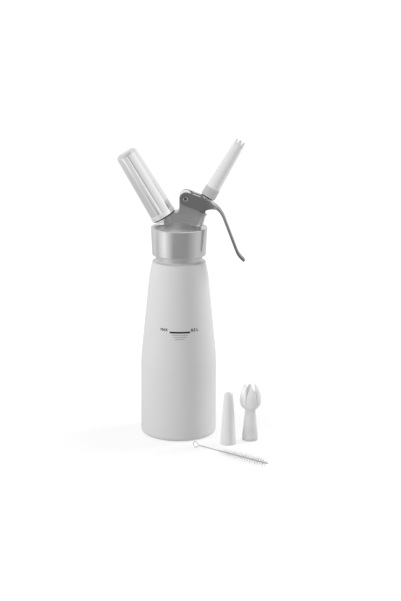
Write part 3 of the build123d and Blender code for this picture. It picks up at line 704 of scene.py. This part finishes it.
# Nozzle adapter
# A ring nut with a spigot for the nozzles, die cast and plated to a dull mid grey. It screws on the
# valve's stem and holds the nozzle by a push fit.
adapter_metal = grained_metal("adapter_metal", 1800.0, (0.58, 0.66), 0.42, 0.12, 0.015 * mm, 0.5 * mm)
wear(nodes["nozzle_adapter"], adapter_metal)

# Valve spring
# Stainless wire wound round the stem between the gland and the stem's flange, its end turns
# closed. It shortens as the lever is squeezed; here it is drawn at its rest length.
valve_frame = Matrix.Translation(valve_apex) @ Matrix.Rotation(valve_tilt, 4, "Y")
gland_top = 35.7 * mm
flange_foot = 50.86 * mm
spring_wire = 0.5 * mm
spring_radius = 5.2 * mm
spring_turns = 7
end_turns = 0.75
spring_seat = 0.6 * mm
turn_points = 32
wire_sides = 12


def tube(path, radius, sides, tip=1.0):
    """Points and faces of a round wire along a path, its last ring scaled by tip."""
    points = []
    faces = []
    heading = (path[1] - path[0]).normalized()
    side = heading.orthogonal().normalized()
    last = len(path) - 1
    for step, spot in enumerate(path):
        ahead = (path[min(step + 1, last)] - path[max(step - 1, 0)]).normalized()
        side = (side - ahead * side.dot(ahead)).normalized()
        other = ahead.cross(side)
        reach = radius * (tip if step == last else 1.0)
        for corner in range(sides):
            angle = 2 * pi * corner / sides
            points.append(spot + (side * cos(angle) + other * sin(angle)) * reach)
    for step in range(last):
        for corner in range(sides):
            a = step * sides + corner
            b = step * sides + (corner + 1) % sides
            faces.append((a, b, b + sides, a + sides))
    faces.append(tuple(reversed(range(sides))))
    faces.append(tuple(range(last * sides, (last + 1) * sides)))
    return points, faces


def spring_climb(turns):
    """Height of the wire's middle after this many turns; the end turns lie close."""
    foot = gland_top + spring_seat
    top = flange_foot - spring_seat
    closed = 2 * spring_wire * end_turns
    if turns <= end_turns:
        return foot + closed * turns / end_turns
    if turns >= spring_turns - end_turns:
        return top - closed * (spring_turns - turns) / end_turns
    share = (turns - end_turns) / (spring_turns - 2 * end_turns)
    return foot + closed + share * (top - foot - 2 * closed)


path = []
for step in range(spring_turns * turn_points + 1):
    turns = step / turn_points
    angle = 2 * pi * turns
    spot = Vector((cos(angle) * spring_radius, sin(angle) * spring_radius, spring_climb(turns)))
    path.append(valve_frame @ spot)
spring = add_mesh("return_spring", *tube(path, spring_wire, wire_sides))
spring.data.materials.append(steel)
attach(spring, "head")
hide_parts("valve_spring")
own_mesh(spring)


# Star nozzle
# White polypropylene, moulded as one tapered tube with a socket at its foot and six pointed
# teeth round its mouth. It is pushed on the adapter's spigot.
def nozzle_plastic(name, **constants):
    """White polypropylene with a fine moulded skin."""
    material, shader, spot = new_finish(name, **constants)
    cloud = grain(spot, 60.0)
    connect(grey_between(cloud, 0.92, 0.95), shader["Base Color"])
    connect(0.34 + cloud * 0.08, shader["Roughness"])
    connect(relief(grain(spot, 400.0), 0.01 * mm), shader["Normal"])
    return material


plastic = nozzle_plastic("white_plastic")
nozzle_columns = 144
nozzle_wall = 1.4 * mm
socket_radius = 5.8 * mm
socket_length = 13.0 * mm
socket_bevel = 0.3 * mm
foot_edge = 0.5 * mm
foot_round = 0.15 * mm


def woven(name, loops, place):
    """A closed skin through closed loops that stand round an axis."""
    count = len(loops)
    size = len(loops[0])
    points = []
    for column, loop in enumerate(loops):
        angle = 2 * pi * column / count
        points += [place @ Vector((cos(angle) * r, sin(angle) * r, z)) for r, z in loop]
    faces = []
    for column in range(count):
        after = (column + 1) % count
        for row in range(size):
            above = (row + 1) % size
            faces.append((column * size + row, after * size + row,
                          after * size + above, column * size + above))
    return add_mesh(name, points, faces)


def dress_nozzle(piece, node, plastic):
    """A nozzle's finish, the body it rides on and the solid it stands for."""
    piece.data.materials.append(plastic)
    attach(piece, node)
    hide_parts(node)


star_foot = 70.25 * mm
star_length = 57.3 * mm
star_foot_radius = 7.5 * mm
star_tip_radius = 5.6 * mm
star_teeth = 6
star_notch_depth = 6.6 * mm
star_notch_half = 1.7 * mm
star_rows = 14
star_turn = radians(-5)
star_lip_turns = (pi / 6, pi / 3, pi / 2, 2 * pi / 3, 5 * pi / 6)


def foot_of(outer):
    """The rim of a nozzle's foot, from the socket's ceiling round to the outer wall."""
    return [
        (socket_radius, socket_length), (socket_radius, foot_edge), (socket_radius + socket_bevel, 0),
        (outer - foot_edge, 0), (outer - foot_round, foot_round),
    ]


def star_loop(angle):
    """The wall at one angle round the star nozzle: it is lower where a notch is cut."""
    pitch = 2 * pi / star_teeth
    off = abs((angle + pitch / 2) % pitch - pitch / 2)
    cut = max(0.0, 1 - star_tip_radius * sin(off) / star_notch_half)
    top = star_length - star_notch_depth * cut
    narrowing = (star_foot_radius - star_tip_radius) / star_length
    lip = nozzle_wall / 2
    loop = foot_of(star_foot_radius)
    for row in range(star_rows + 1):
        z = foot_edge + (top - lip - foot_edge) * row / star_rows
        loop.append((star_foot_radius - narrowing * z, z))
    edge = star_foot_radius - narrowing * (top - lip)
    bore = star_tip_radius - nozzle_wall
    round_half = (edge - bore) / 2
    loop += [(bore + round_half + round_half * cos(a), top - lip + lip * sin(a)) for a in star_lip_turns]
    loop += [(bore, top - lip), (bore, (top + socket_length) / 2), (bore, socket_length)]
    return loop


star_loops = [star_loop(2 * pi * column / nozzle_columns) for column in range(nozzle_columns)]
star_place = valve_frame @ Matrix.Translation((0, 0, star_foot)) @ Matrix.Rotation(star_turn, 4, "Z")
star = woven("star_tip", star_loops, star_place)
dress_nozzle(star, "star_nozzle", plastic)

# Plain nozzle
# The spare nozzle with a plain round mouth, moulded from the same plastic with the same socket. It
# stands on its foot on the table.
plain_place = Vector((52.8, -42.4, 0)) * mm
plain_length = 55.5 * mm
plain_foot_radius = 8.3 * mm
plain_tip_radius = 4.7 * mm
plain_round = 3.0 * mm
plain_round_start = pi / 16
plain_round_steps = 7
plain_mouth = 1.5 * mm
plain_mouth_edge = 0.2 * mm
plain_rows = 12


def arc_points(centre, radius, start, end, steps):
    """Points of an arc in the plane of radius and height."""
    turns = [start + (end - start) * step / steps for step in range(steps + 1)]
    return [(centre[0] + radius * cos(a), centre[1] + radius * sin(a)) for a in turns]


plain_taper = (plain_foot_radius - plain_tip_radius) / plain_length
plain_bore = plain_tip_radius - nozzle_wall
round_foot = plain_length - plain_round
loop = foot_of(plain_foot_radius)
for row in range(plain_rows + 1):
    z = foot_edge + (round_foot - foot_edge) * row / plain_rows
    loop.append((plain_foot_radius - plain_taper * z, z))
round_middle = (plain_foot_radius - plain_taper * round_foot - plain_round, round_foot)
loop += arc_points(round_middle, plain_round, plain_round_start, pi / 2, plain_round_steps)
loop += [(plain_mouth + plain_mouth_edge, plain_length), (plain_mouth, plain_length - plain_mouth_edge),
         (plain_mouth, plain_length - nozzle_wall)]
loop += [(plain_bore, round_foot - nozzle_wall), (plain_bore, socket_length)]
plain = woven("plain_tip", [loop] * nozzle_columns, Matrix.Translation(plain_place))
dress_nozzle(plain, "plain_nozzle", plastic)

# Tulip nozzle
# The spare nozzle for petals, moulded thinner from the same plastic: a tapered stem, and a bulb that
# is slit into six pointed leaves. It stands on its foot, and a small lamp of its own fills its shade.
tulip_place = Vector((76.2, -28.5, 0)) * mm
tulip_foot_radius = 8.3 * mm
tulip_foot_length = 5.0 * mm
tulip_neck_radius = 5.4 * mm
tulip_neck_height = 33.5 * mm
tulip_bulb_radius = 11.4 * mm
tulip_bulb_height = 43.0 * mm
tulip_tip_radius = 6.5 * mm
tulip_length = 60.6 * mm
tulip_leaves = 6
leaf_columns = 16
leaf_tip_half = radians(1.5)
leaf_turn = radians(5.3)
slit_half = 0.35 * mm
slit_foot = 42.0 * mm
slit_top = 47.0 * mm
slit_flare = 1.3
stem_rows = 7
bulb_rows = 9
leaf_steps = 24


def bulb_radius(z):
    """The bulb's outline: an arc up from the neck to its widest place and an arc in to the tips."""
    if z < tulip_bulb_height:
        end_radius, end_height = tulip_neck_radius, tulip_neck_height
    else:
        end_radius, end_height = tulip_tip_radius, tulip_length
    inward = tulip_bulb_radius - end_radius
    reach = end_height - tulip_bulb_height
    bend = (inward * inward + reach * reach) / (2 * inward)
    return tulip_bulb_radius - bend + sqrt(bend * bend - (z - tulip_bulb_height) ** 2)


def slit_width(z):
    """Half the slit between two leaves: even at first, then wider up to the tips."""
    tip_half = tulip_tip_radius * sin(pi / tulip_leaves)
    opening = max(0.0, (z - slit_top) / (tulip_length - slit_top))
    return slit_half + (tip_half - slit_half) * opening ** slit_flare


lower_rows = [(tulip_foot_radius - foot_edge, 0), (tulip_foot_radius - foot_round, foot_round),
              (tulip_foot_radius, foot_edge), (tulip_foot_radius, tulip_foot_length)]
for row in range(1, stem_rows + 1):
    share = row / stem_rows
    lower_rows.append((tulip_foot_radius + (tulip_neck_radius - tulip_foot_radius) * share,
                       tulip_foot_length + (tulip_neck_height - tulip_foot_length) * share))
hollow_rows = []
for row in range(1, bulb_rows + 1):
    z = tulip_neck_height + (slit_foot - tulip_neck_height) * row / bulb_rows
    hollow_rows.append((bulb_radius(z), z))
lower_rows += hollow_rows
leaf_rows = []
for row in range(1, leaf_steps + 1):
    z = slit_foot + (tulip_length - slit_foot) * row / leaf_steps
    leaf_rows.append((bulb_radius(z), z))
outer_rows = lower_rows + leaf_rows
tulip_bore = tulip_neck_radius - nozzle_wall
inner_rows = [(socket_radius + socket_bevel, 0), (socket_radius, foot_edge), (socket_radius, socket_length),
              (tulip_bore, socket_length), (tulip_bore, tulip_neck_height)]
inner_rows += [(r - nozzle_wall, z) for r, z in hollow_rows + leaf_rows]
leaf_pitch = 2 * pi / tulip_leaves


def leaf_ring(radius, z, outline):
    """One ring of points, leaf by leaf; each leaf stops short of the slits beside it."""
    half = leaf_pitch / 2 - asin(min(1.0, slit_width(max(z, slit_foot)) / outline))
    half = max(half, leaf_tip_half)
    ring = []
    for leaf in range(tulip_leaves):
        middle = (leaf + 0.5) * leaf_pitch + leaf_turn
        for column in range(leaf_columns + 1):
            angle = middle + half * (2 * column / leaf_columns - 1)
            ring.append(tulip_place + Vector((cos(angle) * radius, sin(angle) * radius, z)))
    return ring


ring_size = tulip_leaves * (leaf_columns + 1)
points = []
for radius, z in outer_rows:
    points += leaf_ring(radius, z, max(radius, tulip_tip_radius))
for radius, z in inner_rows:
    points += leaf_ring(radius, z, max(radius + nozzle_wall, tulip_tip_radius))
inner_foot = len(outer_rows)
outer_top = inner_foot - 1
inner_top = inner_foot + len(inner_rows) - 1
outer_slit = outer_top - leaf_steps
inner_slit = inner_top - leaf_steps


def quad(corners):
    """A face from four (row, place on the ring) pairs."""
    return tuple(row * ring_size + place % ring_size for row, place in corners)


faces = []
for here in range(ring_size):
    after = here + 1
    in_slit = here % (leaf_columns + 1) == leaf_columns
    for row in range(outer_slit if in_slit else outer_top):
        faces.append(quad(((row, here), (row, after), (row + 1, after), (row + 1, here))))
    for row in range(inner_foot, inner_slit if in_slit else inner_top):
        faces.append(quad(((row + 1, here), (row + 1, after), (row, after), (row, here))))
    faces.append(quad(((inner_foot, here), (inner_foot, after), (0, after), (0, here))))
    out_row, in_row = (outer_slit, inner_slit) if in_slit else (outer_top, inner_top)
    faces.append(quad(((out_row, here), (out_row, after), (in_row, after), (in_row, here))))
    if in_slit:
        for step in range(leaf_steps):
            out_row = outer_slit + step
            in_row = inner_slit + step
            faces.append(quad(((out_row, here), (in_row, here),
                               (in_row + 1, here), (out_row + 1, here))))
            faces.append(quad(((in_row, after), (out_row, after),
                               (out_row + 1, after), (in_row + 1, after))))
tulip = add_mesh("tulip_tip", points, faces)
thin_plastic = nozzle_plastic("thin_white_plastic", Subsurface_Weight=0.6, Subsurface_Scale=0.012,
                              Subsurface_Radius=(1, 1, 1))
dress_nozzle(tulip, "tulip_nozzle", thin_plastic)
tulip_card = soft_box("tulip_card", azimuth=radians(-35), distance=0.8, height=0.3, width=0.3, tall=0.3,
                      watts=2.2)
tulip_alone = bpy.data.collections.new("tulip_alone")
tulip_alone.objects.link(tulip)
tulip_card.light_linking.receiver_collection = tulip_alone

# Cleaning brush
# One galvanised wire, bent to a round loop and twisted on itself; the twist grips fine nylon
# bristles, so that they stand in two spiral rows of tufts, thicker towards the tip.
brush_place = Vector((18.6, -57.5, 3.5)) * mm
brush_heading = radians(-41.9)
brush_length = 98.5 * mm
brush_tip_rise = 2.1 * mm
strand_radius = 0.36 * mm
loop_radius = 3.1 * mm
loop_opening = radians(26)
loop_steps = 40
strand_sides = 8
twist_start = 4.9 * mm
twist_pitch = 6.6 * mm
twist_points = 16
bristle_first = 32.0 * mm
bristle_last = 95.0 * mm
bristle_reach = 5.6 * mm
bristle_radius = 0.075 * mm
bristle_count = 480
bristle_crowding = 0.75
bristle_scatter = 0.10 * mm
bristle_fan = 0.10
bristle_lean = 0.05
bristle_uneven = 0.07
bristle_bend = 0.06
bristle_lift = 0.02 * mm
bristle_steps = 3
bristle_sides = 4
bristle_tip = 0.5
tufts_per_turn = 6
tuft_turn = 2 * pi / tufts_per_turn
brush_lift = Matrix.Rotation(-atan2(brush_tip_rise, brush_length), 4, "Y")
brush_frame = Matrix.Translation(brush_place) @ Matrix.Rotation(brush_heading, 4, "Z") @ brush_lift


def twist(x, phase):
    """A point of one strand of the twist, this far along the brush."""
    angle = 2 * pi * x / twist_pitch + phase
    return Vector((x, cos(angle) * strand_radius, sin(angle) * strand_radius))


twist_steps = int((brush_length - twist_start) / twist_pitch * twist_points)
reaches = [twist_start + (brush_length - twist_start) * step / twist_steps
           for step in range(twist_steps + 1)]
start_turn = 2 * pi * twist_start / twist_pitch
upper = [twist(x, pi / 2 - start_turn) for x in reaches]
lower = [twist(x, -pi / 2 - start_turn) for x in reaches]
loop = []
for step in range(loop_steps + 1):
    angle = loop_opening + (2 * pi - 2 * loop_opening) * step / loop_steps
    loop.append(Vector((cos(angle) * loop_radius, 0, sin(angle) * loop_radius)))
path = [brush_frame @ spot for spot in list(reversed(upper)) + loop + lower]
wire = add_mesh("brush_handle", *tube(path, strand_radius, strand_sides))
wire.data.materials.append(grained_metal("brush_wire", 1200.0, (0.60, 0.72), 0.30, 0.15, 0.01 * mm))
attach(wire, "brush")
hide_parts("brush_wire")

draw = random.Random(7)
tufts = []
for count in range(bristle_count):
    share = ((count + draw.random()) / bristle_count) ** bristle_crowding
    x = bristle_first + (bristle_last - bristle_first) * share
    turn = round((2 * pi * x / twist_pitch - start_turn) / tuft_turn) * tuft_turn
    x = (turn + start_turn) * twist_pitch / (2 * pi) + draw.gauss(0, 1) * bristle_scatter
    angle = turn + draw.gauss(0, bristle_fan) + pi * (count % 2)
    lean = draw.gauss(0, bristle_lean)
    reach = bristle_reach * (1 - bristle_uneven + bristle_uneven * draw.random())
    path = []
    for step in range(bristle_steps + 1):
        share = step / bristle_steps
        out = reach * share
        bent = angle + bristle_bend * share ** 2 * draw.uniform(-1, 1)
        spot = brush_frame @ Vector((x + lean * out, cos(bent) * out, sin(bent) * out))
        spot.z = max(spot.z, bristle_radius + bristle_lift * step)
        path.append(spot)
    tufts.append(tube(path, bristle_radius, bristle_sides, bristle_tip))
bristles = add_mesh("brush_tufts", *gather(tufts))
nylon, shader, spot = new_finish("brush_nylon")
cloud = grain(spot, 300.0)
connect(grey_between(cloud, 0.70, 0.80), shader["Base Color"])
connect(0.35 + cloud * 0.2, shader["Roughness"])
bristles.data.materials.append(nylon)
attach(bristles, "brush")
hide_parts("brush_bristles")
